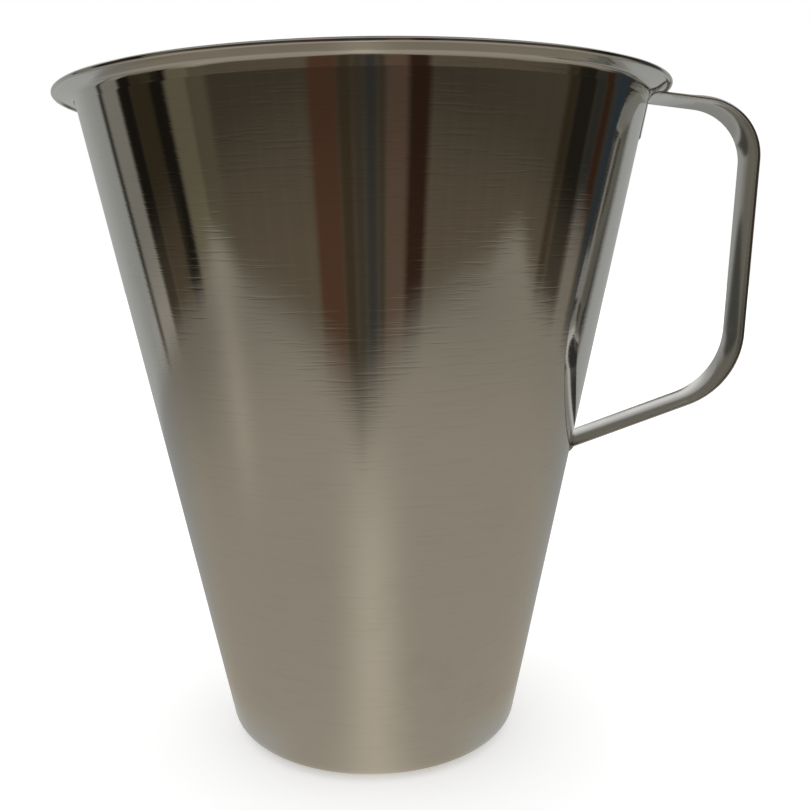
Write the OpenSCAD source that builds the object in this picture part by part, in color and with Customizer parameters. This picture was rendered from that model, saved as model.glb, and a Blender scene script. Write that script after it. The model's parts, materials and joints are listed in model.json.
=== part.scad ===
// Conical steel measuring jug with a welded strap handle.
// The body is one spun shell and the handle is one bent strip of sheet, held by two weld beads.
// The origin is on the jug's axis at table height, +Z is up and the handle lies along +X.
// All lengths are in millimetres, all angles in degrees and all volumes in millilitres.

/* [Body] */
// Height from the table to the top of the rim
body_h = 190; // [150:1:240]
// Diameter of the base, where the slope of the wall meets the table
base_d = 85.5; // [70:0.5:110]
// Diameter that the slope of the wall reaches at the height of the rim
mouth_d = 163; // [130:0.5:200]
// Thickness of the body's sheet
sheet_t = 0.6; // [0.5:0.1:1.5]
// Outside radius of the base corner
base_r = 7.5; // [4:0.5:14]

/* [Rim] */
// How far the rim stands out from the slope of the wall
rim_w = 5.5; // [4:0.1:10]
// Slope of the rim above the horizontal
rim_angle = 15; // [5:1:30]
// Bend radius of the crease under the rim
crease_r = 1.2; // [0.6:0.1:1.6]
// How far below the rim's top the wall turns out into a low collar
collar_drop = 4.9; // [4:0.1:8]
// How much further than the wall the collar leans out
collar_flare = 6; // [1:0.5:12]
// Bend radius where the wall turns out into the collar
collar_r = 2; // [1:0.5:4]

/* [Handle] */
// Width of the strap
strap_w = 20.6; // [14:0.1:30]
// Thickness of the strap
strap_t = 0.8; // [0.6:0.1:1.6]
// How far the middle of the strap is crowned above its two edges
strap_crown = 1.5; // [0.5:0.1:2.5]
// Length of the upper leg along which the crown grows from nothing
crown_run = 12; // [8:0.5:16]
// How far the upper corner of the grip stands out from the crease under the rim
grip_reach = 30.1; // [26:0.1:50]
// Length of the grip from its upper corner to its lower corner
grip_len = 77.8; // [60:0.1:110]
// Lean of the grip towards the wall on the way down
grip_lean = 3.1; // [0:0.1:8]
// Fall of the upper leg away from the rim
upper_fall = 9.2; // [4:0.1:14]
// Fall of the lower leg towards the wall
lower_fall = 20.7; // [10:0.1:30]
// Outside radius of the grip's upper corner
upper_r = 16.5; // [8:0.5:18]
// Outside radius of the grip's lower corner
lower_r = 22.6; // [10:0.1:26]
// Length of the tab that lies against the wall, below its bend
tab_len = 9; // [6:0.5:20]
// Gap between the rim and the strap where the strap leaves the bend above its tab
rim_gap = 0.6; // [0.3:0.05:1]
// Gap between the tab and the wall that it is welded to
seat_gap = 0.03; // [0.02:0.01:0.1]

/* [Welds] */
// Leg of the weld beads along the wall and along the strap
bead_leg = 1.1; // [0.6:0.1:2]
// How far a weld bead bulges past the line between its two toes
bead_bulge = 0.15; // [0.05:0.05:0.3]

/* [Level marks] */
// Volume at the lowest mark
mark_first = 200; // [100:100:400]
// Volume at the highest mark
mark_last = 2000; // [1000:100:2000]
// Volume between one mark and the next
mark_step = 100; // [50:50:250]
// Volume between one long mark and the next
mark_major = 500; // [250:250:1000]
// Length of a short mark around the wall
mark_len = 12; // [6:1:20]
// Length of a long mark around the wall
mark_major_len = 24; // [12:1:40]
// Height of a mark
mark_h = 0.6; // [0.3:0.1:1]
// Depth of a mark in the wall
mark_depth = 0.15; // [0.05:0.05:0.2]
// Direction of the scale around the axis, counted from the handle
scale_azimuth = 90; // [60:5:180]

/* [Hidden] */

$fn = 96;
arc_steps = 10;        // straight steps in the bends of the body's profile
bend_steps = 12;       // straight steps in the bends of the strap
run_steps = 6;         // straight steps along the stretch where the crown grows
cross_steps = 10;      // straight steps across the strap
edge_round = 0.3;      // share of the sheet's thickness that is rounded off at the strap's edges
cut_over = 1;          // how far a cutting shape passes the face that it cuts
mm3_per_ml = 1000;
steel = "#b9b6ae";
weld_steel = "#8f8b84";

// Small vector helpers in a plane
function unit(v) = v / norm(v);
function left_of(v) = [-v.y, v.x];
function turned(v, a) = [v.x * cos(a) - v.y * sin(a), v.x * sin(a) + v.y * cos(a)];

// Corner b of the path a, b, c, moved d to the left of the path
function offset_corner(a, b, c, d) =
    let (n1 = left_of(unit(b - a)), n2 = left_of(unit(c - b)))
    b + d * (n1 + n2) / (1 + n1 * n2);

// Arc of radius r that rounds corner b of the path a, b, c: each point with its direction from the centre
function corner_arc(a, b, c, r, steps) =
    let (u = unit(a - b), v = unit(c - b),
         half = acos(u * v) / 2,
         centre = b + unit(u + v) * r / sin(half),
         start = b + u * r / tan(half) - centre,
         turn = sign(cross(b - a, c - b)) * (180 - 2 * half))
    [for (i = [0:steps])
        let (spoke = turned(start, turn * i / steps)) [centre + spoke, unit(spoke)]];
function arc_points(a, b, c, r, steps) = [for (s = corner_arc(a, b, c, r, steps)) s[0]];

// Body profile in the plane of radius and height
wall_slope = (mouth_d - base_d) / 2 / body_h;
wall_tilt = atan(wall_slope);
wall_gap = sheet_t / cos(wall_tilt);
function wall_outside(z) = base_d / 2 + wall_slope * z;
function wall_inside(z) = wall_outside(z) - wall_gap;

// The wall turns out into the collar here
collar = [wall_outside(body_h - collar_drop), body_h - collar_drop];
collar_slope = tan(wall_tilt + collar_flare);
function collar_outside(z) = collar.x + collar_slope * (z - collar.y);

// The rim ends in a round edge about this point, and its underside meets the collar at the crease
rim_edge = [mouth_d / 2 + rim_w - sheet_t / 2, body_h - sheet_t / 2];
rim_dir = [cos(rim_angle), sin(rim_angle)];
rim_low = rim_edge - left_of(rim_dir) * sheet_t / 2;
crease_back = (rim_low.x - collar_outside(rim_low.y)) / (rim_dir.x - collar_slope * rim_dir.y);
crease = rim_low - crease_back * rim_dir;
function rim_underside(x) = crease.y + (x - crease.x) * tan(rim_angle);

base_corner = [base_d / 2, 0];
axis_foot = [0, 0];
base_corner_in = offset_corner(axis_foot, base_corner, collar, sheet_t);
collar_in = offset_corner(base_corner, collar, crease, sheet_t);
crease_in = offset_corner(collar, crease, rim_low, sheet_t);
rim_high = rim_edge + left_of(rim_dir) * sheet_t / 2;

outside_line = concat(
    [axis_foot],
    arc_points(axis_foot, base_corner, collar, base_r, arc_steps),
    arc_points(base_corner, collar, crease, collar_r, arc_steps),
    arc_points(collar, crease, rim_low, crease_r, arc_steps));
rim_edge_line = [for (i = [0:arc_steps])
    rim_edge + turned(rim_low - rim_edge, 180 * i / arc_steps)];
inside_line = concat(
    arc_points(rim_high, crease_in, collar_in, crease_r + sheet_t, arc_steps),
    arc_points(crease_in, collar_in, base_corner_in, collar_r + sheet_t, arc_steps),
    arc_points(collar_in, base_corner_in, [0, sheet_t], base_r - sheet_t, arc_steps),
    [[0, sheet_t]]);

// Height at which the conical inside holds a volume: solved from the volume of a cone's frustum
floor_r = wall_inside(sheet_t);
function level_radius(volume) = pow(pow(floor_r, 3) + 3 * wall_slope * volume * mm3_per_ml / PI, 1 / 3);
function level_height(volume) = sheet_t + (level_radius(volume) - floor_r) / wall_slope;

// Strap path in the plane of radius and height, from the tab round to the foot of the lower leg.
// It follows the strap's two edges on the face that looks out of the handle's loop, to the left of the path.
// That face lies against the wall at the tab, where the strap follows the wall round.
// So it has a hollow there, and not a crown.
wall_dir = [sin(wall_tilt), cos(wall_tilt)];
wall_normal = [cos(wall_tilt), -sin(wall_tilt)];
function wall_sag(z) = let (r = wall_outside(z)) (r - sqrt(r * r - strap_w * strap_w / 4)) * cos(wall_tilt);
tab_sag = wall_sag(collar.y);
leg_dir = [cos(upper_fall), -sin(upper_fall)];
leg_normal = left_of(leg_dir);

// The tab leaves the wall where the collar starts, and its bend ends in the leg just under the rim
tab_top = collar + wall_normal * (seat_gap - tab_sag);
bend_sum = wall_normal + leg_normal;
tab_r = (rim_underside(tab_top.x) - tab_top.y - rim_gap) / (bend_sum.y - bend_sum.x * tan(rim_angle));
leg_start = tab_top + bend_sum * tab_r;
tab_turn = tab_top + wall_dir * tab_r * tan((90 - wall_tilt + upper_fall) / 2);
tab_end = tab_top - wall_dir * tab_len;
grip_top = leg_start + leg_dir * (crease.x + grip_reach - leg_start.x) / leg_dir.x;
grip_dir = [-sin(grip_lean), -cos(grip_lean)];
grip_low = grip_top + grip_dir * grip_len;
foot_dir = [-cos(lower_fall), -sin(lower_fall)];
foot_reach = (grip_low.x - wall_outside(grip_low.y)) / (-foot_dir.x + wall_slope * foot_dir.y);
strap_foot = grip_low + foot_dir * foot_reach;

// Stations along the strap: place, outward normal and crown
tab_arc = corner_arc(tab_end, tab_turn, grip_top, tab_r, bend_steps);
upper_arc = corner_arc(tab_turn, grip_top, grip_low, upper_r, bend_steps);
lower_arc = corner_arc(grip_top, grip_low, strap_foot, lower_r, bend_steps);
stations = concat(
    [[tab_end, -wall_normal, -wall_sag(tab_end.y)]],
    [for (i = [0:bend_steps]) concat(tab_arc[i], -tab_sag * (1 - i / bend_steps))],
    [for (i = [1:run_steps])
        [leg_start + leg_dir * crown_run * i / run_steps, leg_normal, strap_crown * i / run_steps]],
    [for (s = concat(upper_arc, lower_arc)) concat(s, strap_crown)]);

// Section of the strap: pairs of place across the strap and depth below the face that looks out
half_w = strap_w / 2;
flat_w = half_w - strap_t * edge_round;
across = [for (i = [0:cross_steps]) flat_w * (2 * i / cross_steps - 1)];
section = concat(
    [for (y = across) [y, 0]],
    [[half_w, strap_t / 2]],
    [for (i = [cross_steps:-1:0]) [across[i], strap_t]],
    [[-half_w, strap_t / 2]]);
section_count = len(section);

function strap_point(station, side) =
    let (lift = station[2] * (1 - pow(side.x / half_w, 2)) - side.y,
         p = station[0] + station[1] * lift)
    [p.x, side.x, p.y];

// Point of the wall's outside reached from a point along the lower leg
function on_wall(p) =
    let (r = wall_outside(p.z),
         a = pow(foot_dir.x, 2) - pow(wall_slope * foot_dir.y, 2),
         b = p.x * foot_dir.x - r * wall_slope * foot_dir.y,
         c = p.x * p.x + p.y * p.y - r * r,
         s = (-b - sqrt(b * b - a * c)) / a)
    p + s * [foot_dir.x, 0, foot_dir.y];
// Point of the wall's outside at a place across the strap and a height, moved out by a gap
function wall_point(y, z, gap) = [sqrt(pow(wall_outside(z) + gap, 2) - y * y), y, z];

strap_rings = concat(
    [for (s = stations) [for (side = section) strap_point(s, side)]],
    [[for (side = section) on_wall(strap_point(stations[len(stations) - 1], side))]]);

// Closed skin over rings of equal length, each ring given in the same sense
module ring_skin(rings) {
    n = len(rings[0]);
    last = len(rings) - 1;
    points = [for (ring = rings) each ring];
    sides = [for (k = [0:last - 1], i = [0:n - 1])
        let (a = k * n + i, b = k * n + (i + 1) % n) each [[a, b, b + n], [a, b + n, a + n]]];
    half = floor(n / 2);
    function cap_pairs(start) = [for (i = [0:half - 2])
        let (a = start + i, b = start + i + 1, c = start + n - 2 - i, d = start + (n - 1 - i)) [a, b, c, d]];
    caps = [for (q = cap_pairs(0)) each [[q[0], q[3], q[2]], [q[0], q[2], q[1]]]];
    ends = [for (q = cap_pairs(last * n)) each [[q[0], q[2], q[3]], [q[0], q[1], q[2]]]];
    polyhedron(points, concat(sides, caps, ends));
}

// Weld bead between two toes that share a root, each a row of points across the strap
module bead(root, strap_toe, wall_toe, outward) {
    rings = [for (i = [0:len(root) - 1])
        [root[i], strap_toe[i], (strap_toe[i] + wall_toe[i]) / 2 + outward * bead_bulge, wall_toe[i]]];
    ring_skin(rings);
}

module level_mark(volume) {
    z = level_height(volume);
    low = z - mark_h / 2;
    high = z + mark_h / 2;
    length = volume % mark_major == 0 ? mark_major_len : mark_len;
    span = length / wall_inside(z) * 180 / PI;
    rotate([0, 0, scale_azimuth - span / 2])
        rotate_extrude(angle = span)
            polygon([
                [wall_inside(low) - cut_over, low],
                [wall_inside(low) + mark_depth, low],
                [wall_inside(high) + mark_depth, high],
                [wall_inside(high) - cut_over, high]]);
}

module jug_body() {
    color(steel)
        difference() {
            rotate_extrude() polygon(concat(outside_line, rim_edge_line, inside_line));
            for (volume = [mark_first:mark_step:mark_last]) level_mark(volume);
        }
}

module handle_strap() {
    color(steel) ring_skin(strap_rings);
}

// The bead under the tab fills the corner between the tab's cut end and the wall
module upper_weld() {
    first = strap_rings[0];
    root = [for (i = [0:cross_steps]) first[i]];
    tab_toe = [for (i = [0:cross_steps]) first[section_count - 2 - i]];
    toe = [for (p = root) wall_point(p.y, p.z - bead_leg * wall_dir.y, seat_gap)];
    color(weld_steel) bead(root, tab_toe, toe, [wall_normal.x, 0, wall_normal.y]);
}

// The bead under the lower leg fills the corner between the strap's outer face and the wall
module lower_weld() {
    last = strap_rings[len(strap_rings) - 1];
    root = [for (i = [0:cross_steps]) last[i]];
    out_toe = [for (p = root) p - bead_leg * [foot_dir.x, 0, foot_dir.y]];
    toe = [for (p = root) wall_point(p.y, p.z - bead_leg * wall_dir.y, 0)];
    color(weld_steel) bead(root, out_toe, toe, [wall_normal.x, 0, wall_normal.y]);
}

jug_body();
handle_strap();
upper_weld();
lower_weld();
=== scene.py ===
# %% [markdown]
# # A steel measuring jug
# The jug is a thin conical shell of stainless sheet with a flared rim. Its handle is one bent strip of
# sheet, and two weld beads hold the strip to the wall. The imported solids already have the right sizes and
# places, so this lesson gives each of them a finer surface and a real finish. All lengths are in metres.
# The jug's axis is Z, the table is at z = 0 and the handle lies along +X.

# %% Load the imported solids
import json
import math

import bpy
import numpy as np
from mathutils import Matrix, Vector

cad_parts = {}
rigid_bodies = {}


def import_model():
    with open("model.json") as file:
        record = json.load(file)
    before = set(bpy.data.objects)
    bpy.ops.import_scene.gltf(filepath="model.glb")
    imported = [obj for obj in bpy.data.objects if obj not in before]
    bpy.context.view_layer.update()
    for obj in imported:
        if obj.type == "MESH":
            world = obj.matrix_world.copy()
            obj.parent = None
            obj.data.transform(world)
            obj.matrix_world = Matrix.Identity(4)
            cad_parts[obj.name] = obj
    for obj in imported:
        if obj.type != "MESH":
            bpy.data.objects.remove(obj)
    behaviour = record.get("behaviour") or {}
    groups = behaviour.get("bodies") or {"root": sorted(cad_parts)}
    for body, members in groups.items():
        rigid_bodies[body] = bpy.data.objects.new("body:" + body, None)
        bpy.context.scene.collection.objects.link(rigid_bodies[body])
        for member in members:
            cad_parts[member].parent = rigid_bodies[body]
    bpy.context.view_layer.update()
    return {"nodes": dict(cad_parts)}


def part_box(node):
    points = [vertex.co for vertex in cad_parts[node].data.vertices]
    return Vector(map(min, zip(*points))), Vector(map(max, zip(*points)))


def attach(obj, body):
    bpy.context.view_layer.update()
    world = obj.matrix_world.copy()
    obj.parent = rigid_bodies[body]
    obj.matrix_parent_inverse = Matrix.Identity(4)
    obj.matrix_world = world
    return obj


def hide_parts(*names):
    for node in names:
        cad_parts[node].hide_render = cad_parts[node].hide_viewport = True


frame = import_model()
scene = bpy.context.scene
print("nodes:", sorted(frame["nodes"]))

# %% [markdown]
# ## The camera
# The picture is taken from just below the rim and from close by, so the mouth looks much wider than the
# base and the rim shows its underside. Place, aim and lens were worked out from the outlines of the rim,
# the wall and the base. A camera could be aimed by eye, but a solved one lets each edge of the render lie
# on the edge in the picture. The small shift is there because the picture is cropped, so the lens axis
# isn't at its middle.

# %% Camera
MM = 0.001
picture_px = 810
lens_px = 983.3
lens_axis_px = (375.6, 389.6)
camera_reach = 297.2 * MM
camera_height = 146.9 * MM
handle_turn = math.radians(5.75)
# Aim in radians: turned from the jug's axis, tipped down, and rolled about the lens axis
camera_yaw = 0.0076
camera_pitch = -0.1437
camera_roll = -0.018

camera_data = bpy.data.cameras.new("camera")
camera_data.sensor_width = 36.0
camera_data.lens = lens_px / picture_px * camera_data.sensor_width
camera_data.shift_x = 0.5 - lens_axis_px[0] / picture_px
camera_data.shift_y = lens_axis_px[1] / picture_px - 0.5
camera_data.clip_start = 0.01
camera = bpy.data.objects.new("camera", camera_data)
scene.collection.objects.link(camera)

towards_camera = np.array([math.sin(handle_turn), -math.cos(handle_turn)])
camera_place = (*(camera_reach * towards_camera), camera_height)
camera.matrix_world = (
    Matrix.Translation(camera_place)
    @ Matrix.Rotation(handle_turn - camera_yaw, 4, "Z")
    @ Matrix.Rotation(math.pi / 2 + camera_pitch, 4, "X")
    @ Matrix.Rotation(camera_roll, 4, "Z")
)
scene.camera = camera
scene.view_settings.view_transform = "Standard"
print("camera at", [round(v, 3) for v in camera_place], "lens", round(camera_data.lens, 1), "mm")

# %% [markdown]
# ## Meshes from grids
# Every piece here is a grid of points: rings of equal length, one after another. A ring closes on itself,
# so the faces between two rings form a band, and the bands form a tube. What is left open at the two ends
# is closed by a strip that zips the two halves of the end ring together, or by a fan to one point where a
# surface of revolution meets its axis. Modelling by hand or with modifiers would do as well, but a grid
# keeps every size under control and gives clean UVs: U runs along the ring or the strip, V across it,
# both in metres.

# %% Grid helpers
def ring_quads(rows, columns, closed=True):
    """Corner numbers of the quads between neighbouring rows; a closed row's last place joins its first."""
    across = columns if closed else columns - 1
    k, i = np.meshgrid(np.arange(rows - 1), np.arange(across), indexing="ij")
    j = (i + 1) % columns
    low, high = k * columns, (k + 1) * columns
    return np.stack([low + i, low + j, high + j, high + i], axis=-1).reshape(-1, 4)


def quad_uv(u, v):
    """UV of each quad's corners; U and V have one more column than the ring, so no quad wraps back."""
    corners = [(slice(0, -1), slice(0, -1)), (slice(0, -1), slice(1, None)),
               (slice(1, None), slice(1, None)), (slice(1, None), slice(0, -1))]
    both = np.stack([u, v], axis=-1)
    return np.stack([both[c] for c in corners], axis=2).reshape(-1, 2)


def end_strip(columns):
    """Faces that zip one half of a ring to the other: place i is paired with place columns - i."""
    half = columns // 2
    i = np.arange(1, half - 1)
    quads = np.stack([i, columns - i, columns - i - 1, i + 1], axis=-1)
    return quads, np.array([[0, columns - 1, 1], [half - 1, half + 1, half]])


def make_piece(name, points, faces, corner_uv, material):
    """Mesh object from points, faces and the UV of every face corner in turn, smooth all over."""
    mesh = bpy.data.meshes.new(name)
    mesh.from_pydata(points.reshape(-1, 3).tolist(), [], faces)
    layer = mesh.uv_layers.new(name="sheet")
    layer.data.foreach_set("uv", np.ascontiguousarray(corner_uv, dtype=np.float32).ravel())
    mesh.shade_smooth()
    mesh.materials.append(material)
    piece = bpy.data.objects.new(name, mesh)
    scene.collection.objects.link(piece)
    return piece


def set_mask(piece, name, values):
    """Stores one number per point, which a material reads by this name."""
    layer = piece.data.attributes.new(name, "FLOAT", "POINT")
    layer.data.foreach_set("value", values.ravel().astype(np.float32))


def report(piece):
    """Prints the piece's triangles and its volume, which is positive when the faces point outwards."""
    mesh = piece.data
    mesh.calc_loop_triangles()
    corners = np.empty(len(mesh.loop_triangles) * 3, dtype=np.int32)
    mesh.loop_triangles.foreach_get("vertices", corners)
    points = np.empty(len(mesh.vertices) * 3, dtype=np.float32)
    mesh.vertices.foreach_get("co", points)
    a, b, c = points.reshape(-1, 3)[corners.reshape(-1, 3)].astype(float).transpose(1, 0, 2)
    volume = np.einsum("ij,ij->i", a, np.cross(b, c)).sum() / 6
    print(f"{piece.name}: {len(a)} triangles, {volume / MM ** 3:.1f} mm3")


def tube(name, rings, u, v, material):
    """Closed tube over rings of points, with both ends zipped shut."""
    rows, columns = rings.shape[:2]
    quads = ring_quads(rows, columns)
    strip, corners = end_strip(columns)
    last = (rows - 1) * columns
    ends = [strip, corners, last + strip[:, ::-1], last + corners[:, ::-1]]
    flat_uv = np.stack([u[:, :-1], v[:, :-1]], axis=-1).reshape(-1, 2)
    uv = [quad_uv(u, v)] + [flat_uv[e.ravel()] for e in ends]
    faces = quads.tolist() + [face for e in ends for face in e.tolist()]
    return make_piece(name, rings, faces, np.concatenate(uv), material)


print("quads between 3 closed rings of 8 points:", len(ring_quads(3, 8)))

# %% [markdown]
# ## Lines with round bends
# Sheet metal is straight between its bends, so its outlines are straight lines whose corners are rounded
# by arcs. The arc that rounds a corner touches both lines; its centre lies on the line that halves the
# corner. Smooth shading spreads the tilt of a bend into the flat next to it, so each straight stretch
# gets an extra point close to its ends, which keeps the tilt inside the bend.

# %% Outline helpers
def unit(v):
    """The vector, shortened or stretched to length 1."""
    return v / np.linalg.norm(v)


def left_of(v):
    """The vector after a quarter turn to the left."""
    return np.array([-v[1], v[0]])


def offset_corner(a, b, c, distance):
    """Corner b of the path a, b, c, after each of its lines is moved to the left by a distance."""
    n1, n2 = left_of(unit(b - a)), left_of(unit(c - b))
    return b + distance * (n1 + n2) / (1 + n1 @ n2)


def spokes(start, turn, steps):
    """The vector start, turned about its foot in equal steps."""
    angle = turn * np.linspace(0, 1, steps + 1)
    cos, sin = np.cos(angle), np.sin(angle)
    return np.stack([start[0] * cos - start[1] * sin, start[0] * sin + start[1] * cos], axis=-1)


def corner_arc(a, b, c, radius, steps):
    """Arc that rounds corner b of the path a, b, c, and each point's direction from the arc's centre."""
    u, v = unit(a - b), unit(c - b)
    half = math.acos(u @ v) / 2
    centre = b + unit(u + v) * radius / math.sin(half)
    first = b + u * radius / math.tan(half) - centre
    d1, d2 = b - a, c - b
    turn = math.copysign(math.pi - 2 * half, d1[0] * d2[1] - d1[1] * d2[0])
    rays = spokes(first, turn, steps)
    return centre + rays, rays / radius


def refined(line, hold, step):
    """The line with more points on stretches over 4 holds long: one at hold from each end, one each step."""
    parts = [line[:1]]
    for a, b in zip(line[:-1], line[1:]):
        length = np.linalg.norm((b - a)[:2])
        inner = np.empty(0)
        if length > 4 * hold:
            inner = np.linspace(hold, length - hold, max(2, round(length / step))) / length
        shares = np.append(inner, 1.0)[:, None]
        parts.append(a + shares * (b - a))
    return np.concatenate(parts)


def run_length(line):
    """Distance of each point from the first one along the line."""
    return np.append(0.0, np.cumsum(np.linalg.norm(np.diff(line, axis=0), axis=1)))


right_corner = np.array([[0.0, 1.0], [0.0, 0.0], [1.0, 0.0]])
quarter_arc = corner_arc(*right_corner, radius=1.0, steps=64)[0]
print("length of a quarter arc of radius 1:", round(run_length(quarter_arc)[-1], 3))

# %% [markdown]
# ## Finishes that several pieces share
# Stainless kitchenware is ground with a fine belt, which leaves short parallel lines, and it is handled,
# which leaves faint patches where the shine is duller. Both effects are node groups that are built once.
# The first takes a place along the lines and a distance across them and stretches a noise along the run
# of the lines. The second is a soft noise in the object's own space. An image could hold both, but a
# procedural pattern has no seam and no resolution.

# %% Brush lines and handling marks
def new_group(name, inputs, outputs):
    """Empty shader node group with named sockets, and its two end nodes."""
    group = bpy.data.node_groups.new(name, "ShaderNodeTree")
    for socket, kind in inputs.items():
        group.interface.new_socket(socket, in_out="INPUT", socket_type=kind)
    for socket in outputs:
        group.interface.new_socket(socket, in_out="OUTPUT", socket_type="NodeSocketFloat")
    return group, group.nodes.new("NodeGroupInput"), group.nodes.new("NodeGroupOutput")


def feed(tree, socket, value):
    """Links an output to a socket, or sets the socket to a number or to a colour, given as a tuple."""
    if isinstance(value, bpy.types.NodeSocket):
        tree.links.new(value, socket)
    elif isinstance(value, tuple):
        socket.default_value = (*value, 1.0)
    else:
        socket.default_value = value


def math_node(tree, operation, a, b):
    """Math node whose inputs are links or numbers, as its output socket."""
    node = tree.nodes.new("ShaderNodeMath")
    node.operation = operation
    feed(tree, node.inputs[0], a)
    feed(tree, node.inputs[1], b)
    return node.outputs[0]


def noise_node(tree, vector, scale, detail):
    """Noise texture on a vector, as its output socket for the value."""
    node = tree.nodes.new("ShaderNodeTexNoise")
    node.inputs["Scale"].default_value = scale
    node.inputs["Detail"].default_value = detail
    tree.links.new(vector, node.inputs["Vector"])
    return node.outputs["Fac"]


def ramp_node(tree, value, low, high):
    """Map Range node from low..high to 0..1 with soft ends."""
    node = tree.nodes.new("ShaderNodeMapRange")
    node.interpolation_type = "SMOOTHSTEP"
    node.inputs["From Min"].default_value = low
    node.inputs["From Max"].default_value = high
    tree.links.new(value, node.inputs["Value"])
    return node.outputs["Result"]


deep_stretch = 1.6
deep_range = (0.50, 0.70)
patch_scale = 28.0
patch_range = (0.48, 0.75)
speck_scale = 170.0
speck_range = (0.30, 0.75)


def brush_group():
    """Lines by noise on (run / length, across / spacing): Fine is dense, Deep keeps single dashes."""
    group, start, end = new_group(
        "brush_lines",
        {"Run": "NodeSocketVector", "Across": "NodeSocketFloat",
         "Length": "NodeSocketFloat", "Spacing": "NodeSocketFloat"},
        ["Fine", "Deep"])
    split = group.nodes.new("ShaderNodeSeparateXYZ")
    group.links.new(start.outputs["Run"], split.inputs[0])
    lines = {}
    for output, stretch in (("Fine", 1.0), ("Deep", deep_stretch)):
        place = group.nodes.new("ShaderNodeCombineXYZ")
        length = math_node(group, "MULTIPLY", start.outputs["Length"], stretch)
        spacing = math_node(group, "MULTIPLY", start.outputs["Spacing"], stretch)
        group.links.new(math_node(group, "DIVIDE", split.outputs["X"], length), place.inputs["X"])
        group.links.new(math_node(group, "DIVIDE", split.outputs["Y"], length), place.inputs["Y"])
        group.links.new(math_node(group, "DIVIDE", start.outputs["Across"], spacing), place.inputs["Z"])
        lines[output] = noise_node(group, place.outputs[0], scale=1.0, detail=2.0)
    group.links.new(lines["Fine"], end.inputs["Fine"])
    group.links.new(ramp_node(group, lines["Deep"], *deep_range), end.inputs["Deep"])
    return group


def handling_group():
    """Dull patches: a broad noise cut to its high parts, broken up by a finer one."""
    group, start, end = new_group("handling_marks", {"Place": "NodeSocketVector"}, ["Patch"])
    place = start.outputs["Place"]
    broad = ramp_node(group, noise_node(group, place, patch_scale, detail=2.0), *patch_range)
    fine = ramp_node(group, noise_node(group, place, speck_scale, detail=3.0), *speck_range)
    group.links.new(math_node(group, "MULTIPLY", broad, fine), end.inputs["Patch"])
    return group


brush_lines = brush_group()
handling_marks = handling_group()
print("shared finishes:", brush_lines.name, handling_marks.name)

# %% [markdown]
# ## The steels
# A metal shows little but what it mirrors, so its finish is mostly roughness. Brush lines blur a
# reflection across the lines and leave it sharp along them. The shader does that with anisotropy: the
# tangent comes from the UV, and a quarter turn lays the blur across the lines. Three steels share one
# recipe and differ in colour, roughness and in how strong their lines are. The inside marks are etched,
# which is a dull dark grey, so a mask darkens them.

# %% Steel recipe
quarter_turn = 0.25
patch_share = 0.6
line_share = 0.3
polish = 0.03
wear = 0.06
fine_share = 0.6


def mix_colour(tree, share, colour, other):
    """Colour between two others by a share that changes over the surface."""
    node = tree.nodes.new("ShaderNodeMix")
    node.data_type = "RGBA"
    tree.links.new(share, node.inputs["Factor"])
    # A Mix node has sockets for every kind of value: inputs 6 and 7 and output 2 are the colours
    feed(tree, node.inputs[6], colour)
    feed(tree, node.inputs[7], other)
    return node.outputs[2]


def new_material(name):
    """Plain material with its node tree and its shader."""
    material = bpy.data.materials.new(name)
    material.use_nodes = True
    return material, material.node_tree, material.node_tree.nodes["Principled BSDF"]


def steel(name, colour, dull_colour, roughness, line_length, line_spacing, line_depth, anisotropy, around):
    """Brushed steel, rougher by the worn share; its lines run round the Z axis, or else along U."""
    material, tree, shader = new_material(name)
    shader.inputs["Metallic"].default_value = 1.0
    shader.inputs["Anisotropic"].default_value = anisotropy
    shader.inputs["Anisotropic Rotation"].default_value = quarter_turn

    tangent = tree.nodes.new("ShaderNodeTangent")
    tangent.direction_type = "UV_MAP"
    tangent.uv_map = "sheet"
    tree.links.new(tangent.outputs[0], shader.inputs["Tangent"])

    place = tree.nodes.new("ShaderNodeTexCoord").outputs["Object"]
    sheet_uv = tree.nodes.new("ShaderNodeUVMap")
    sheet_uv.uv_map = "sheet"
    split = tree.nodes.new("ShaderNodeSeparateXYZ")
    tree.links.new(sheet_uv.outputs[0], split.inputs[0])

    lines = tree.nodes.new("ShaderNodeGroup")
    lines.node_tree = brush_lines
    lines.inputs["Length"].default_value = line_length
    lines.inputs["Spacing"].default_value = line_spacing
    tree.links.new(place if around else sheet_uv.outputs[0], lines.inputs["Run"])
    tree.links.new(split.outputs["Y"], lines.inputs["Across"])
    marks = tree.nodes.new("ShaderNodeGroup")
    marks.node_tree = handling_marks
    tree.links.new(place, marks.inputs["Place"])

    dull = math_node(tree, "MULTIPLY", marks.outputs["Patch"], patch_share)
    worn = math_node(tree, "ADD", dull, math_node(tree, "MULTIPLY", lines.outputs["Deep"], line_share))
    tone = mix_colour(tree, worn, colour, dull_colour)
    shine = math_node(tree, "ADD", roughness - polish, math_node(tree, "MULTIPLY", worn, wear))
    tree.links.new(tone, shader.inputs["Base Color"])
    tree.links.new(shine, shader.inputs["Roughness"])

    bump = tree.nodes.new("ShaderNodeBump")
    bump.inputs["Strength"].default_value = 1.0
    bump.inputs["Distance"].default_value = line_depth
    fine = math_node(tree, "MULTIPLY", lines.outputs["Fine"], fine_share)
    tree.links.new(math_node(tree, "SUBTRACT", fine, lines.outputs["Deep"]), bump.inputs["Height"])
    tree.links.new(bump.outputs[0], shader.inputs["Normal"])
    return material


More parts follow.
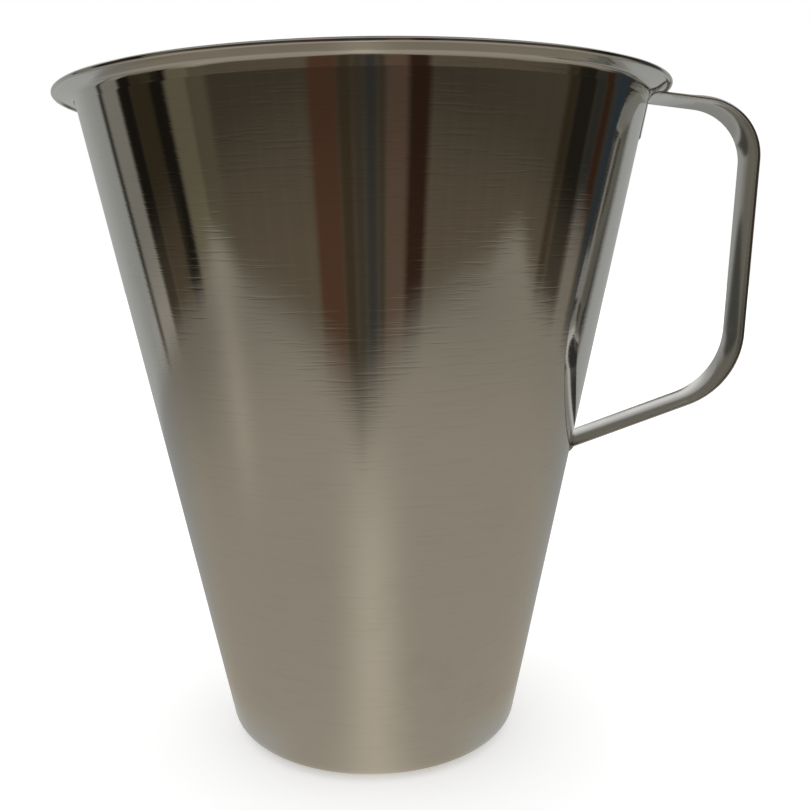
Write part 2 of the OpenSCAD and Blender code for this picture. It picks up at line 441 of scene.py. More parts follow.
def etch(material, mask, colour, added_roughness):
    """Lays a dull etched colour over the parts of a steel where the piece's own mask is 1."""
    tree = material.node_tree
    shader = tree.nodes["Principled BSDF"]
    where = tree.nodes.new("ShaderNodeAttribute")
    where.attribute_name = mask
    under = shader.inputs["Base Color"].links[0].from_socket
    tree.links.new(mix_colour(tree, where.outputs["Fac"], under, colour), shader.inputs["Base Color"])
    shine = shader.inputs["Roughness"].links[0].from_socket
    lifted = math_node(tree, "MULTIPLY", where.outputs["Fac"], added_roughness)
    tree.links.new(math_node(tree, "ADD", shine, lifted), shader.inputs["Roughness"])


body_steel = steel(
    "body_steel", colour=(0.62, 0.60, 0.56), dull_colour=(0.56, 0.54, 0.50), roughness=0.095,
    line_length=8 * MM, line_spacing=0.5 * MM, line_depth=0.0055 * MM, anisotropy=0.7, around=True)
etch(body_steel, "mark", colour=(0.10, 0.10, 0.10), added_roughness=0.35)
strap_steel = steel(
    "strap_steel", colour=(0.62, 0.60, 0.57), dull_colour=(0.57, 0.55, 0.52), roughness=0.15,
    line_length=14 * MM, line_spacing=0.4 * MM, line_depth=0.001 * MM, anisotropy=0.3, around=False)
weld_steel = steel(
    "weld_steel", colour=(0.48, 0.46, 0.43), dull_colour=(0.36, 0.33, 0.29), roughness=0.30,
    line_length=2 * MM, line_spacing=0.6 * MM, line_depth=0.004 * MM, anisotropy=0.0, around=False)
print("steels:", body_steel.name, strap_steel.name, weld_steel.name)

# %% [markdown]
# ## The body
# The real body is spun or drawn from one disc: flat base, rounded corner, straight wall, a low collar and
# a rim that is folded out. The rim's edge is rolled under into a thin bead, which shows as a light line
# with a dark line on either side. Half of the section, carried once round the axis, is the whole shell,
# so it is a surface of revolution. The inside line is the outside line moved in by the sheet's thickness.

# %% Profile of the body
body_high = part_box("jug_body")[1]
body_h = body_high.z
base_d = 85.5 * MM
mouth_d = 163 * MM
sheet_t = 0.6 * MM
base_r = 7.5 * MM
rim_w = 5.5 * MM
rim_angle = math.radians(15)
crease_r = 1.8 * MM
roll_r = 0.66 * MM
collar_drop = 4.9 * MM
collar_flare = math.radians(6)
collar_r = 2 * MM

wall_slope = (mouth_d - base_d) / 2 / body_h
wall_tilt = math.atan(wall_slope)


def wall_outside(z):
    """Radius of the wall's outside: it grows with height at one slope."""
    return base_d / 2 + wall_slope * z


def wall_inside(z):
    """Radius of the wall's inside at the same height."""
    return wall_outside(z) - sheet_t / math.cos(wall_tilt)


collar = np.array([wall_outside(body_h - collar_drop), body_h - collar_drop])
collar_slope = math.tan(wall_tilt + collar_flare)
rim_edge = np.array([mouth_d / 2 + rim_w - sheet_t / 2, body_h - sheet_t / 2])
rim_dir = np.array([math.cos(rim_angle), math.sin(rim_angle)])
rim_low = rim_edge - left_of(rim_dir) * sheet_t / 2
rim_high = rim_edge + left_of(rim_dir) * sheet_t / 2
collar_reach = rim_low[0] - collar[0] - collar_slope * (rim_low[1] - collar[1])
crease = rim_low - rim_dir * collar_reach / (rim_dir[0] - collar_slope * rim_dir[1])
roll = np.array([mouth_d / 2 + rim_w - roll_r, body_h - roll_r])


def on_roll(point):
    """Where the rim's face through a point, followed inwards from the edge, leaves the rolled edge."""
    off = (point - roll) @ left_of(rim_dir)
    return roll + off * left_of(rim_dir) - math.sqrt(roll_r ** 2 - off ** 2) * rim_dir


roll_start, roll_end = on_roll(rim_low), on_roll(rim_high)
roll_from = math.atan2(*(roll_start - roll)[::-1])
roll_turn = (math.atan2(*(roll_end - roll)[::-1]) - roll_from) % (2 * math.pi)
print("rim radius in mm:", round((rim_edge[0] + sheet_t / 2) / MM, 2), "solid:", round(body_high.x / MM, 2))

# %% [markdown]
# The level marks are short grooves on the inside. Each one lies where the conical inside holds its
# volume, which follows from the volume of a cone's frustum. Rows of the grid run along the edges of every
# mark and again close beside them, which keeps the sheet between two grooves flat. A groove is made by
# moving the points inside it outwards.

# %% Levels and rows
ML = 1e-6
mark_volumes = np.arange(200, 2001, 100) * ML
mark_major = 500 * ML
mark_len = 12 * MM
mark_major_len = 24 * MM
mark_h = 0.6 * MM
mark_depth = 0.15 * MM
mark_edge = 0.03 * MM
mark_hold = 0.12 * MM
scale_azimuth = math.radians(90)


def level_height(volume):
    """Height at which the inside holds a volume: the frustum's volume solved for its upper radius."""
    floor_r = wall_inside(sheet_t)
    level_r = np.cbrt(floor_r ** 3 + 3 * wall_slope * volume / math.pi)
    return sheet_t + (level_r - floor_r) / wall_slope


mark_z = level_height(mark_volumes)
is_major = np.isclose(np.round(mark_volumes / mark_major) * mark_major, mark_volumes)
mark_half = np.where(is_major, mark_major_len, mark_len) / 2
mark_offsets = np.array([-mark_hold, -mark_edge, mark_edge, mark_hold])
mark_offsets = np.concatenate([mark_offsets - mark_h / 2, mark_offsets + mark_h / 2])
mark_rows = (mark_z[:, None] + mark_offsets).ravel()[::-1]
print("marks from", round(mark_z[0] / MM, 1), "to", round(mark_z[-1] / MM, 1), "mm above the table")

# %% [markdown]
# The outline starts at the middle of the base, goes up the outside, over the rolled edge and down the
# inside, and ends above the place where it started. Each bend is an arc. The rows of the marks come in
# their order on the way down.

# %% Body outline
hold = 0.25 * MM
row_step = 12 * MM
base_steps = 20
collar_steps = 6
crease_steps = 12
roll_steps = 24

base_foot = np.array([0.0, 0.0])
base_top = np.array([0.0, sheet_t])
base_corner = np.array([base_d / 2, 0.0])
base_corner_in = offset_corner(base_foot, base_corner, collar, sheet_t)
collar_in = offset_corner(base_corner, collar, crease, sheet_t)
crease_in = offset_corner(collar, crease, rim_low, sheet_t)
mark_wall = np.stack([wall_inside(mark_rows), mark_rows], axis=-1)

outside = refined(np.concatenate([
    [base_foot],
    corner_arc(base_foot, base_corner, collar, base_r, base_steps)[0],
    corner_arc(base_corner, collar, crease, collar_r, collar_steps)[0],
    corner_arc(collar, crease, rim_low, crease_r, crease_steps)[0],
    roll + spokes(roll_start - roll, roll_turn, roll_steps),
    corner_arc(rim_high, crease_in, collar_in, crease_r + sheet_t, crease_steps)[0],
    corner_arc(crease_in, collar_in, base_corner_in, collar_r + sheet_t, collar_steps)[0],
]), hold, row_step)
inside = refined(np.concatenate([
    corner_arc(collar_in, base_corner_in, base_top, base_r - sheet_t, base_steps)[0],
    [base_top],
]), hold, row_step)
outline = np.concatenate([outside, mark_wall, inside])
print("rows of the body:", len(outline))

# %% [markdown]
# The outline is now carried round the axis. Spinning it in equal steps would do for a plain jug, but the
# short marks need clean ends, so the steps are small beside the scale and larger everywhere else. The two
# points on the axis are shared by all columns, and a fan of triangles joins each to its nearest ring.

# %% Body shell
def around_axis(coarse, fine, fine_half):
    """Angles round the axis, with coarse steps, and fine steps within fine_half of the scale."""
    far_end = 2 * math.pi - fine_half
    near = np.linspace(-fine_half, fine_half, round(2 * fine_half / fine) + 1)
    far = np.linspace(fine_half, far_end, round((far_end - fine_half) / coarse) + 1)
    return scale_azimuth + np.concatenate([near, far[1:-1]])


def jug_shell(line, angles):
    """Surface of revolution: point (r, z) goes to (r cos a, r sin a, z), deeper inside a mark."""
    r, z = line[1:-1, 0][:, None], line[1:-1, 1][:, None]
    away = np.abs(z - mark_z)
    nearest = away.argmin(axis=1)
    in_row = (away.min(axis=1) < mark_h / 2) & (np.abs(r[:, 0] - wall_inside(z[:, 0])) < mark_edge)
    in_column = np.abs(angles - scale_azimuth) * r < mark_half[nearest][:, None]
    mark = in_row[:, None] & in_column
    r = r + mark_depth * mark
    points = np.stack([r * np.cos(angles), r * np.sin(angles), z + 0 * angles], axis=-1)
    return points, mark


angles = around_axis(coarse=math.radians(1.5), fine=math.radians(0.25), fine_half=math.radians(14.5))
shell, mark = jug_shell(outline, angles)
rows, columns = mark.shape
along = run_length(outline)
u = np.append(angles, angles[0] + 2 * math.pi) * mouth_d / 2 + np.zeros((rows, 1))
v = along[1:-1, None] + np.zeros((1, columns + 1))

poles = np.array([[0, 0, outline[0, 1]], [0, 0, outline[-1, 1]]])
first, last = rows * columns, rows * columns + 1
i = np.arange(columns)
j = (i + 1) % columns
low_fan = np.stack([np.full(columns, first), j, i], axis=-1)
high_fan = np.stack([np.full(columns, last), i, j], axis=-1) + [0, first - columns, first - columns]


def fan_uv(a, b, ring_v, tip_v):
    """UV of a fan's corners: its tip halfway between two places of the ring, then the two places."""
    corners = [((a + b) / 2, tip_v), (a, ring_v), (b, ring_v)]
    pairs = [np.stack([x, np.full_like(x, y)], axis=-1) for x, y in corners]
    return np.stack(pairs, axis=1).reshape(-1, 2)


low_uv = fan_uv(u[0, 1:], u[0, :-1], along[1], along[0])
high_uv = fan_uv(u[0, :-1], u[0, 1:], along[-2], along[-1])
jug_body = make_piece(
    "jug_shell",
    np.concatenate([shell.reshape(-1, 3), poles]),
    ring_quads(rows, columns).tolist() + low_fan.tolist() + high_fan.tolist(),
    np.concatenate([quad_uv(u, v), low_uv, high_uv]),
    body_steel)
set_mask(jug_body, "mark", np.append(mark.ravel(), [0, 0]))
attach(jug_body, "root")
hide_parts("jug_body")
report(jug_body)

# %% [markdown]
# ## The handle
# The handle is one strip with a crown across it, which stiffens it and fits the fingers. A tab lies
# against the wall under the rim, then come the upper leg, the grip and the lower leg, which is cut to the
# wall. The strip is a section carried along a path: at each station the section stands square to the
# path, and its crown grows from a slight hollow at the tab, where the strip follows the wall round. The
# tab is pressed thinner than the rest, and its edges are dressed down to the wall.

# %% Path of the strap
strap_low, strap_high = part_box("handle_strap")
strap_w = strap_high.y - strap_low.y
strap_t = 0.8 * MM
tab_t = 0.45 * MM
strap_crown = 1.5 * MM
crown_run = 12 * MM
grip_reach = 30.1 * MM
grip_len = 77.8 * MM
grip_lean = math.radians(3.1)
upper_fall = math.radians(9.2)
lower_fall = math.radians(20.7)
upper_r = 16.5 * MM
lower_r = 22.6 * MM
tab_len = 9 * MM
tab_dress = 3 * MM
rim_gap = 0.6 * MM
seat_gap = 0.03 * MM
half_w = strap_w / 2


def wall_sag(z):
    """How far the round wall falls away, square to its slope, from the strap's middle to its edges."""
    r = wall_outside(z)
    return (r - math.sqrt(r * r - half_w * half_w)) * math.cos(wall_tilt)


wall_dir = np.array([math.sin(wall_tilt), math.cos(wall_tilt)])
wall_normal = np.array([math.cos(wall_tilt), -math.sin(wall_tilt)])
leg_dir = np.array([math.cos(upper_fall), -math.sin(upper_fall)])
leg_normal = left_of(leg_dir)
grip_dir = np.array([-math.sin(grip_lean), -math.cos(grip_lean)])
foot_dir = np.array([-math.cos(lower_fall), -math.sin(lower_fall)])

tab_sag = wall_sag(collar[1])
tab_top = collar + wall_normal * (seat_gap - tab_sag)
bend_sum = wall_normal + leg_normal
rim_slope = math.tan(rim_angle)
under_rim = crease[1] + (tab_top[0] - crease[0]) * rim_slope
tab_r = (under_rim - tab_top[1] - rim_gap) / (bend_sum[1] - bend_sum[0] * rim_slope)
leg_start = tab_top + bend_sum * tab_r
tab_turn = tab_top + wall_dir * tab_r * math.tan((math.pi / 2 - wall_tilt + upper_fall) / 2)
tab_end = tab_top - wall_dir * tab_len
grip_top = leg_start + leg_dir * (crease[0] + grip_reach - leg_start[0]) / leg_dir[0]
grip_low = grip_top + grip_dir * grip_len
foot_reach = (grip_low[0] - wall_outside(grip_low[1])) / (wall_slope * foot_dir[1] - foot_dir[0])
strap_foot = grip_low + foot_dir * foot_reach


def stations(arc, crowns, thick):
    """Rows of place, outward normal, crown and thickness."""
    return np.column_stack([*arc, crowns, thick])


# A step of a bend is shorter than 4 holds, so no more points are put on it
bend_steps = 48
station_step = 4 * MM
tab_arc = corner_arc(tab_end, tab_turn, grip_top, tab_r, bend_steps)
upper_arc = corner_arc(tab_turn, grip_top, grip_low, upper_r, bend_steps)
lower_arc = corner_arc(grip_top, grip_low, strap_foot, lower_r, bend_steps)
full, growing = np.ones(bend_steps + 1), np.linspace(0, 1, bend_steps + 1)
crowned = [*(leg_start + leg_dir * crown_run), *leg_normal, strap_crown, strap_t]
path = refined(np.concatenate([
    [[*tab_end, *-wall_normal, -wall_sag(tab_end[1]), tab_t]],
    stations(tab_arc, tab_sag * (growing - 1), tab_t + (strap_t - tab_t) * growing),
    [crowned],
    stations(upper_arc, strap_crown * full, strap_t * full),
    stations(lower_arc, strap_crown * full, strap_t * full),
]), hold, station_step)
print("stations of the strap:", len(path))

# %% [markdown]
# The strip's section has two flat faces and tumbled, round edges. A curve with a bevel would carry such a
# section along a path too, but it couldn't change its crown and thickness on the way, nor cut the lower
# end to the round wall.

# %% Section and surface of the strap
edge_r = 0.38 * MM
edge_hold = 0.06 * MM
dress_share = 0.8
leg_rings = 13


def strap_section(cross_steps, round_steps):
    """Ring of (across, depth) from the middle of one edge: two flat faces, four rounded corners."""
    flat = half_w - edge_r
    turn = np.linspace(0, math.pi / 2, round_steps + 1)[1:]
    quarter = np.stack([flat + edge_r * np.sin(turn), edge_r - edge_r * np.cos(turn)], axis=-1)
    across = np.linspace(-flat, flat, cross_steps + 1)
    across = np.concatenate([[-flat, edge_hold - flat], across[1:-1], [flat - edge_hold, flat]])
    face = np.stack([across, 0 * across], axis=-1)
    half = np.concatenate([[[-half_w, strap_t / 2]], quarter[::-1] * [-1, 1], face, quarter])
    ring = np.concatenate([half, half * [-1, -1] + [0, strap_t]])
    return np.roll(ring[::-1], 1, axis=0)


def strap_points(path, section):
    """Section at each station: out along the normal by crown * (1 - (y / half width)^2), less the depth."""
    y, depth = section.T
    x, z, normal_x, normal_z, crown, sheet = path.T[:, :, None]
    on_tab = (strap_t - sheet) / (strap_t - tab_t)
    dressed = np.clip((np.abs(y) - half_w) / tab_dress + 1, 0, 1) ** 2
    thick = sheet * (1 - dress_share * on_tab * dressed)
    lift = crown * (1 - (y / half_w) ** 2) - thick * depth / strap_t
    return np.stack([x + normal_x * lift, y + 0 * lift, z + normal_z * lift], axis=-1)


def on_wall(points):
    """Where a line along the lower leg from each point meets the wall: a quadratic's nearer root."""
    x, y, z = points[..., 0], points[..., 1], points[..., 2]
    r = wall_outside(z)
    a = foot_dir[0] ** 2 - (wall_slope * foot_dir[1]) ** 2
    b = x * foot_dir[0] - r * wall_slope * foot_dir[1]
    c = x * x + y * y - r * r
    reach = (-b - np.sqrt(b * b - a * c)) / a
    return points + reach[..., None] * np.array([foot_dir[0], 0, foot_dir[1]])


section = strap_section(cross_steps=28, round_steps=6)
rings = strap_points(path, section)
leg_shares = np.linspace(0, 1, leg_rings + 1)[1:, None, None]
rings = np.concatenate([rings, rings[-1] + leg_shares * (on_wall(rings[-1]) - rings[-1])])
ring_closed = np.concatenate([section, section[:1]])
mid_face = len(section) // 4
along = run_length(rings[:, mid_face])
u = along[:, None] + np.zeros((1, len(section) + 1))
v = run_length(ring_closed) + np.zeros((len(rings), 1))
strap = tube("strap", rings, u, v, strap_steel)
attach(strap, "root")
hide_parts("handle_strap")
report(strap)

# %% [markdown]
# ## The weld beads
# Each end of the strap is held by one bead in the corner between strip and wall. A bead is laid drop by
# drop, so its face bulges and carries small ripples. It is a tube of rings across the strap: each ring
# starts at the root of the corner and goes over the bulged face from the strip's toe to the wall's toe.
# The ripple is a wave along the bead that lags towards the toes, which gives the curved scales of a real
# bead.

# %% Beads
bead_leg = 1.1 * MM
bead_bulge = 0.15 * MM
bead_end = 0.9 * MM
bead_tip = 0.15
bead_steps = 180
face_points = 9
ripple_pitch = 1.2 * MM
ripple_share = 0.35
ripple_lag = 0.25


def wall_points(y, z, gap):
    """Points of the wall's outside at places across the strap and heights, moved out by a gap."""
    r = wall_outside(z) + gap
    return np.stack([np.sqrt(r * r - y * y), y, z], axis=-1)


def bead_rings(root, strap_toe, wall_toe):
    """Rings of root and face: a line from toe to toe, lifted by a bulge and a wave, drawn in at the ends."""
    across = np.linspace(0, 1, face_points)[None, :, None]
    y = root[:, 1]
    inside = np.clip((np.abs(y).max() - np.abs(y)) / bead_end, 0, 1)
    size = (bead_tip + (1 - bead_tip) * np.sqrt(1 - (1 - inside) ** 2))[:, None, None]
    arch = 4 * across * (1 - across)
    wave = np.cos(2 * math.pi * (y[:, None, None] / ripple_pitch + ripple_lag * arch))
    outward = np.array([wall_normal[0], 0, wall_normal[1]])
    face = strap_toe[:, None] * (1 - across) + wall_toe[:, None] * across
    face = face + outward * bead_bulge * arch * (1 - ripple_share + ripple_share * wave)
    face = root[:, None] + size * (face - root[:, None])
    return np.concatenate([root[:, None], face], axis=1)


def make_bead(name, node, root, strap_toe, wall_toe):
    """Bead as a tube along Y, with U across the bead's face and V along it."""
    rings = bead_rings(root, strap_toe, wall_toe)
    ring_round = 3 * bead_leg
    u = np.linspace(0, ring_round, rings.shape[1] + 1) + np.zeros((len(rings), 1))
    v = root[:, 1:2] + np.zeros((1, rings.shape[1] + 1))
    piece = tube(name, rings, u, v, weld_steel)
    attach(piece, "root")
    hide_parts(node)
    report(piece)


bead_y = np.linspace(-half_w + edge_r, half_w - edge_r, bead_steps + 1)
outer_row = np.stack([bead_y, np.zeros_like(bead_y)], axis=-1)
inner_row = np.stack([bead_y, np.full_like(bead_y, strap_t)], axis=-1)
drop = bead_leg * wall_dir[1]

tab_root = strap_points(path[:1], outer_row)[0]
tab_toe = strap_points(path[:1], inner_row)[0]
tab_wall_toe = wall_points(bead_y, tab_root[:, 2] - drop, seat_gap)
make_bead("tab_bead", "upper_weld", tab_root, tab_toe, tab_wall_toe)

foot_root = on_wall(strap_points(path[-1:], outer_row)[0])
foot_toe = foot_root - bead_leg * np.array([foot_dir[0], 0, foot_dir[1]])
foot_wall_toe = wall_points(bead_y, foot_root[:, 2] - drop, 0)
make_bead("foot_bead", "lower_weld", foot_root, foot_toe, foot_wall_toe)

# %% [markdown]
# ## The numbers of the scale
# The long marks carry plain numbers in millilitres, etched like the marks. Flat letters are made a mesh
# and then bent onto the wall: the way along the text becomes an arc round the axis, the way up becomes a
# way up the slope, and the thickness lies across the wall's face. The letters stand a hair's breadth proud
# of the sheet and reach as far into it, so no gap shows under them.

# %% Level numbers
number_size = 5.5 * MM
number_gap = 3 * MM
number_proud = 0.04 * MM


def flat_number(text):
    """Points and faces of a number in the plane, whose baseline starts at the origin."""
    curve = bpy.data.curves.new("number", "FONT")
    curve.body = text
    curve.size = number_size
    curve.extrude = number_proud
    curve.resolution_u = 3
    holder = bpy.data.objects.new("number", curve)
    scene.collection.objects.link(holder)
    mesh = bpy.data.meshes.new_from_object(holder.evaluated_get(bpy.context.evaluated_depsgraph_get()))
    points = np.empty(len(mesh.vertices) * 3)
    mesh.vertices.foreach_get("co", points)
    faces = [tuple(p.vertices) for p in mesh.polygons]
    bpy.data.objects.remove(holder)
    bpy.data.meshes.remove(mesh)
    return points.reshape(-1, 3), faces


def on_inside(points, z_level):
    """Bends flat points onto the inside wall: x goes round the axis, y up the slope, z inwards."""
    x, y, lift = points.T
    z = z_level + (y - np.ptp(y) / 2) * math.cos(wall_tilt)
    r = wall_inside(z)
    angle = scale_azimuth - (mark_major_len / 2 + number_gap + x) / r
    r = r - lift
    return np.stack([r * np.cos(angle), r * np.sin(angle), z], axis=-1)


number_points, number_faces, count = [], [], 0
for volume, z_level in zip(mark_volumes[is_major], mark_z[is_major]):
    points, faces = flat_number(str(round(volume / ML)))
    number_points.append(on_inside(points, z_level))
    number_faces += [tuple(count + c for c in face) for face in faces]
    count += len(points)
number_points = np.concatenate(number_points)
corner_order = np.concatenate([np.array(face) for face in number_faces])
etched, tree, shader = new_material("etched_grey")
number_uv = number_points[corner_order][:, [0, 2]]
numbers = make_piece("level_numbers", number_points, number_faces, number_uv, etched)
numbers.data.shade_flat()
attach(numbers, "root")
report(numbers)

# %% [markdown]
# Etched steel scatters light like fine matt stone. A plain grey would look printed, so a fine noise
# varies its tone and its roughness.

# %% Etched finish
grain_scale = 6000.0
etched_roughness = 0.4
grain_roughness = 0.25
shader.inputs["Metallic"].default_value = 0.7
grain = noise_node(tree, tree.nodes.new("ShaderNodeTexCoord").outputs["Object"], grain_scale, detail=2.0)
tone = mix_colour(tree, grain, (0.07, 0.07, 0.07), (0.14, 0.14, 0.135))
rough_grain = math_node(tree, "MULTIPLY", grain, grain_roughness)
tree.links.new(tone, shader.inputs["Base Color"])
tree.links.new(math_node(tree, "ADD", etched_roughness, rough_grain), shader.inputs["Roughness"])
print("finish of the numbers:", etched.name)

# %% [markdown]
# ## Floor and light
# The jug stands on a white sheet under an even white sky, so colours come out as they are written and the
# only shadow is the soft one around its foot. Lamps would do too, but each would show in the steel as a
# bright spot. The sheet gives off a little light that only the eye and mirrors see, so it looks as white as
# the sky and puts no more light on the jug.

# %% Floor and sky
floor_half = 3.0
floor_z = -0.05 * MM
paper_glow = 0.3
floor_mesh = bpy.data.meshes.new("floor")
floor_x = [-floor_half, floor_half, floor_half, -floor_half]
floor_y = [-floor_half, -floor_half, floor_half, floor_half]
floor_mesh.from_pydata([(x, y, floor_z) for x, y in zip(floor_x, floor_y)], [], [(0, 1, 2, 3)])
floor = bpy.data.objects.new("floor", floor_mesh)
scene.collection.objects.link(floor)
paper, paper_tree, paper_shader = new_material("white_paper")
paper_shader.inputs["Base Color"].default_value = (0.97, 0.97, 0.97, 1)
paper_shader.inputs["Roughness"].default_value = 1.0
paper_shader.inputs["Specular IOR Level"].default_value = 0.0
paper_shader.inputs["Emission Color"].default_value = (1, 1, 1, 1)
seen_by = paper_tree.nodes.new("ShaderNodeLightPath").outputs
seen = math_node(paper_tree, "ADD", seen_by["Is Camera Ray"], seen_by["Is Glossy Ray"])
seen = math_node(paper_tree, "ADD", seen, seen_by["Is Transmission Ray"])
lift = math_node(paper_tree, "MULTIPLY", seen, paper_glow)
paper_tree.links.new(lift, paper_shader.inputs["Emission Strength"])
floor_mesh.materials.append(paper)

world = bpy.data.worlds.new("white_sky")
world.use_nodes = True
world.node_tree.nodes["Background"].inputs["Color"].default_value = (1, 1, 1, 1)
world.node_tree.nodes["Background"].inputs["Strength"].default_value = 1.0
scene.world = world
print("floor", 2 * floor_half, "m wide")

# %% [markdown]
# ## What the steel mirrors
# A white sky alone would leave the steel blank: polished metal needs something to mirror. As in a studio,
# a dull surround goes round the jug: a floor, a wall and a lid. It is darker in front, has some dark
# strips, and only reflections see it: it neither shades the floor nor shows in the picture. An image of a
# room could be mirrored instead, but plain colours with soft edges can be placed one by one. A strip has
# two angles and a colour. Angles are in degrees, 0 towards the camera and positive towards the handle.

# %% Colours of the surround
olive = np.array([0.076, 0.062, 0.044])
pale_olive = np.array([0.165, 0.147, 0.098])
black = np.array([0.014, 0.012, 0.009])
brown = np.array([0.044, 0.033, 0.019])
rust = np.array([0.086, 0.044, 0.027])
clay = np.array([0.115, 0.075, 0.055])
stone = np.array([0.165, 0.156, 0.128])
blue = np.array([0.036, 0.050, 0.060])
slate = np.array([0.052, 0.052, 0.046])
grey = np.array([0.285, 0.275, 0.245])
light = np.array([0.43, 0.44, 0.43])
table = np.array([0.385, 0.352, 0.295])

strips = [
    (-121, -117.5, grey * 0.15), (-117.5, -105.5, grey), (-105.5, -97.5, black), (-97.5, -87, brown),
    (-87, -79, black), (-79, -68, pale_olive), (-68, -60, pale_olive * 0.7), (-20.5, -9.5, rust),
    (-9.5, -4, brown * 1.2), (-4, 0.5, olive * 0.75), (0.5, 5.5, slate * 0.8), (5.5, 9, olive * 0.75),
    (9, 17.3, clay), (17.3, 25.5, rust * 0.4), (84, 89, brown), (89, 100, black * 1.5),
    (100, 106, slate * 0.7), (106, 112, rust * 0.55), (112, 114, slate * 0.8), (114, 123, blue),
    (123, 130, slate * 0.8),
]
print("strips of the surround:", len(strips))

# %% Soft edges
def window(angle, start, end, soft):
    """1 between two angles and 0 outside, with soft edges."""
    return np.clip((angle - start) / soft + 0.5, 0, 1) * np.clip((end - angle) / soft + 0.5, 0, 1)


def ramp(value, low, high):
    """0 below low, 1 above high, and a smooth step between; the other way round if low is above high."""
    t = np.clip((value - low) / (high - low), 0, 1)
    return t * t * (3 - 2 * t)


def hump(value, middle, width):
    """1 at the middle, and less to both sides of it, as a bell: e to the minus (distance / width)^2."""
    return np.exp(-((value - middle) / width) ** 2)


def blend(colour, other, share):
    """Colour between two others, by a share at each place."""
    share = share[..., None]
    return colour * (1 - share) + other * share


print("a quarter of the way up a soft step:", ramp(0.25, 0, 1))

# %% [markdown]
# A place on the surround has an angle and a run: the distance over the floor, then up the wall, then in
# over the lid, in metres. The floor near the jug is the table that it stands on.

# %% Table round the jug
def near_floor(angle, run):
    """Light from the table: its tone times the table's colour, blended with pale light behind the jug."""
    side = np.abs(angle)
    # Lighter at the foot, and darker further out, but less so on the handle's side
    tone = 1 + 0.25 * np.exp(-run / 0.06)
    tone = tone - (0.35 - 0.15 * ramp(angle, 30, 80)) * ramp(run, 0.18, 0.40)
    # A light stripe towards the camera, and on the left a light band and a faint dark one
    tone = tone + 0.45 * hump(angle, 0, 13) * ramp(run, 0.25, 0.1)
    bands = 0.22 * hump(angle, -62, 7) - 0.07 * hump(angle, -86, 12)
    tone = tone + bands * ramp(run, 0.14, 0.27)
    # Pale behind the jug, with a light edge round its foot
    pale_floor = (0.86 - 0.09 * ramp(run, 0.1, 0.25))[..., None] * light
    colour = blend(tone[..., None] * table, pale_floor, ramp(side, 90, 150))
    return blend(colour, 1.13 * light, 0.75 * ramp(run, 0.058, 0.046) * ramp(side, 30, 55))


print("table in front of the foot:", near_floor(np.zeros(1), np.full(1, 0.1))[0].round(2))

# %% [markdown]
# Beyond the table come the rest of the floor and the walls: light behind the jug, dull in front of it, and
# crossed by the strips. The strips draw in a little towards the jug, so that each is mirrored in one
# straight line up the wall. The table ends in a soft edge, which lies further out at the sides.

# %% Walls and lid
surround_r = 2.5
surround_h = 2.2
strip_draw = 43 * MM
strip_soft = 2.5
table_soft = 0.06
lid_soft = 0.1


def strip_angle(angle, run):
    """Angle by which strips are placed: the true one times 1 + draw / distance over the floor."""
    return angle * (1 + strip_draw / np.minimum(run, surround_r))


def far_surround(angle, run):
    """Light from beyond the table: pale behind, dull in front, then the strips and what lies over them."""
    side = np.abs(angle)
    seen = strip_angle(angle, run)
    height = np.maximum(run - surround_r, 0)
    # Pale behind the jug, and lighter still high up on the wall
    rise = np.where(seen > 0, 0.1 + 0.83 * ramp(seen, 129, 138), 0.82 + 0.17 * ramp(-seen, 122, 148))
    back = rise[..., None] * light + (0.75 * ramp(height, 1.2, 2.2))[..., None]
    # Dull and faintly streaked in front
    streaks = 1 + 0.03 * np.sin(1.1 * seen) * np.sin(0.37 * seen + 1.3)
    tone = 0.75 + 0.2 * ramp(angle, 30, 70) + 1.05 * ramp(run, 0.95, 0.35)
    colour = blend(back, olive * (streaks * tone)[..., None], window(seen, -119, 121, 2))
    # The strips, lighter near the jug
    fade = (0.85 + 0.35 * ramp(run, 0.8, 0.35))[..., None]
    for start, end, strip in strips:
        colour = blend(colour, fade * strip, window(seen, start, end, strip_soft))
    # A haze on both sides and a pale patch on the handle's side, next to the table
    haze = ramp(run, 0.95, 0.5) * window(side, 80, 118, 6)
    colour = colour + 0.6 * haze[..., None] * olive
    return blend(colour, 0.62 * table, ramp(run, 1.1, 0.55) * window(seen, 101.5, 111.5, 3))


def surround_colour(angle, run):
    """Light given off at an angle and a run: the table up to its edge, the walls beyond, then the lid."""
    seen = strip_angle(angle, run)
    aside = np.minimum(np.abs(seen + 4), 66)
    edge = 0.235 + 0.0033 * aside + 0.09 * hump(np.abs(seen - 1), 69, 9)
    beyond = ramp(run, edge - table_soft, edge + table_soft)
    colour = blend(near_floor(angle, run), far_surround(angle, run), beyond)
    lid = (0.4 - 0.34 * ramp(np.abs(angle), 130, 150))[..., None]
    top = surround_r + surround_h
    return blend(colour, lid, ramp(run, top - lid_soft, top + lid_soft))


print("wall behind the jug:", far_surround(np.full(1, 180.0), np.full(1, surround_r))[0].round(2))

# %% [markdown]
# The surround is one more grid, with a column every half degree and rows that lie closer together near
# the jug, where their edges show. It stands just above the white sheet. Its colours are stored on the
# points, and one plain material gives them off as light.

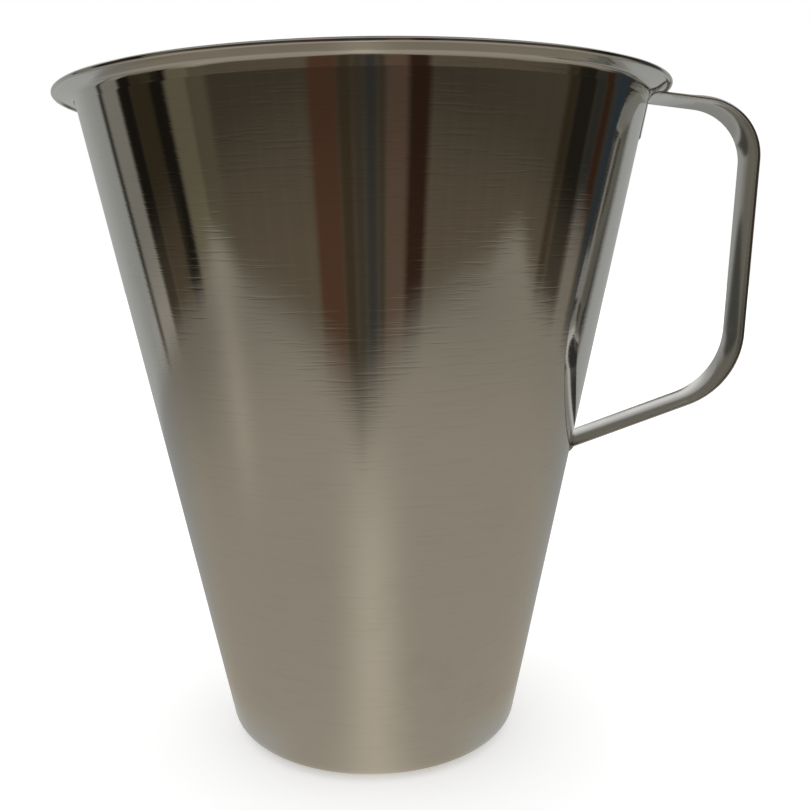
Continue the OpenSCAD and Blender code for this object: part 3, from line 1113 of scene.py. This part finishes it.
# %% Surround
surround_lift = 0.1 * MM
half_degrees = 720
angle = np.linspace(-180, 180, half_degrees + 1)[None, :]
run = np.concatenate([
    np.linspace(0.02, 0.6, 88),  # table
    np.linspace(0.62, 1.3, 18),  # rest of the floor
    np.linspace(1.4, surround_r, 8),
    surround_r + np.linspace(0.02, surround_h, 45),  # wall
    surround_r + surround_h + np.linspace(0.05, surround_r - 0.05, 20),  # lid
])[:, None]
radius = np.minimum(run, surround_r) - np.maximum(run - surround_r - surround_h, 0)
height = surround_lift + np.clip(run - surround_r, 0, surround_h)
turn = np.radians(angle) + math.atan2(towards_camera[1], towards_camera[0])
points = np.stack([radius * np.cos(turn), radius * np.sin(turn), height + 0 * turn], axis=-1)[:, :-1]
glow = surround_colour(angle + 0 * run, run + 0 * angle)[:, :-1]

dim_card, tree, shader = new_material("dim_card")
tree.nodes.remove(shader)
given = tree.nodes.new("ShaderNodeAttribute")
given.attribute_name = "glow"
emission = tree.nodes.new("ShaderNodeEmission")
tree.links.new(given.outputs["Color"], emission.inputs["Color"])
tree.links.new(emission.outputs[0], tree.nodes["Material Output"].inputs["Surface"])


def glowing(name, points, quads, glow):
    """Stage piece that only reflections see, with its own colour of light at each point."""
    mesh = bpy.data.meshes.new(name)
    mesh.from_pydata(points.reshape(-1, 3).tolist(), [], quads.tolist())
    shade = mesh.color_attributes.new("glow", "FLOAT_COLOR", "POINT")
    colours = np.append(glow, np.ones((*glow.shape[:2], 1)), axis=-1)
    shade.data.foreach_set("color", colours.astype(np.float32).ravel())
    mesh.materials.append(dim_card)
    piece = bpy.data.objects.new(name, mesh)
    scene.collection.objects.link(piece)
    piece.visible_camera = False
    piece.visible_diffuse = False
    piece.visible_shadow = False
    piece.visible_transmission = False
    piece.visible_volume_scatter = False
    print(f"{name}: {points.shape[0] * points.shape[1]} points")


glowing("surround", points, ring_quads(*points.shape[:2]), glow)

# %% [markdown]
# The inside of the grip faces away from the camera and mirrors what is close behind the jug. A small card
# hangs there, pale on one side and dull on the other, with a dark patch low down that narrows upwards.

# %% Card behind the handle
card_columns = 58
card_rows = 41
card_x = np.linspace(-120, 115, card_columns)[None, :] * MM
card_z = np.linspace(98, 210, card_rows)[:, None] * MM
card_y = 250 * MM
pale = ramp(card_x, 10 * MM, -115 * MM) + 0 * card_z
up = card_z - 108 * MM
left, right = 0.7 * up - 115 * MM, 50 * MM - 1.15 * up
patch = ramp(card_x, left - 22 * MM, left + 22 * MM) * ramp(card_x, right + 20 * MM, right - 20 * MM)
patch = patch * ramp(card_z, 180 * MM, 165 * MM) * ramp(card_z, 98 * MM, 107 * MM)
card_glow = blend(blend(stone, light, pale), 1.3 * slate, patch)
card_points = np.stack(np.broadcast_arrays(card_x, card_y, card_z), axis=-1)
glowing("grip_card", card_points, ring_quads(card_rows, card_columns, closed=False), card_glow)
